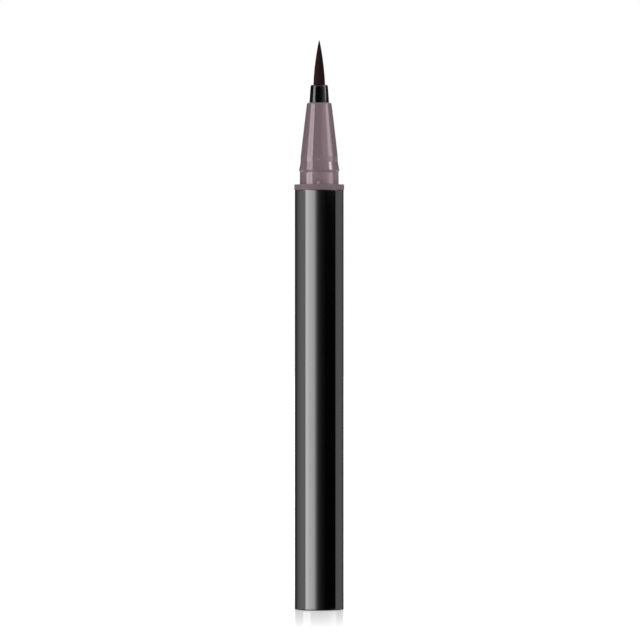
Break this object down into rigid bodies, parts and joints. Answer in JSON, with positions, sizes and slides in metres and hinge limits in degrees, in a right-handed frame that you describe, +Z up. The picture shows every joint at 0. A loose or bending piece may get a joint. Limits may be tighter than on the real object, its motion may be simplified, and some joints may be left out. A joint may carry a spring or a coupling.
{
  "type": "liquid eyeliner pen",
  "caption": "Slim brush-tip liquid eyeliner pen without its cap: round barrel, flanged neck with a snap bead, tapered front section, short brush holder and pointed brush.",
  "frame": {"origin": "on the pen's axis, at the foot of the barrel, on the surface that the pen stands on", "axes": "+Z up along the pen's axis, towards the brush; -Y towards the viewer of the picture, who sees the first cap rib there; +X to the viewer's right"},
  "size_m": [0.0104, 0.0104, 0.1197],
  "materials": {
    "gloss_black": "high-gloss black moulded plastic",
    "satin_black": "black moulded plastic, slightly satin",
    "mauve_plastic": "dusty mauve moulded plastic, semi-gloss",
    "natural_plastic": "uncoloured translucent plastic",
    "feed_plastic": "white moulded plastic",
    "inked_fibre": "bonded fibre soaked with brown ink",
    "inked_hair": "fine synthetic hair soaked with dark brown ink",
    "seal_rubber": "black elastomer",
    "steel": "polished steel"
  },
  "bodies": {
    "pen": {"barrel": "gloss_black", "tail_plug": "satin_black", "ink_tank": "natural_plastic", "collector": "feed_plastic", "collector_seal": "seal_rubber", "relay_core": "inked_fibre", "front_section": "mauve_plastic", "brush_holder": "satin_black", "root_bush": "natural_plastic", "brush_tip": "inked_hair"},
    "mixing_ball": {"mixing_ball": "steel"}
  },
  "joints": [
    {"name": "ball_travel", "type": "slide", "parent": "pen", "child": "mixing_ball", "axis": [0, 0, 1], "range_m": [0, 0.0596]}
  ]
}
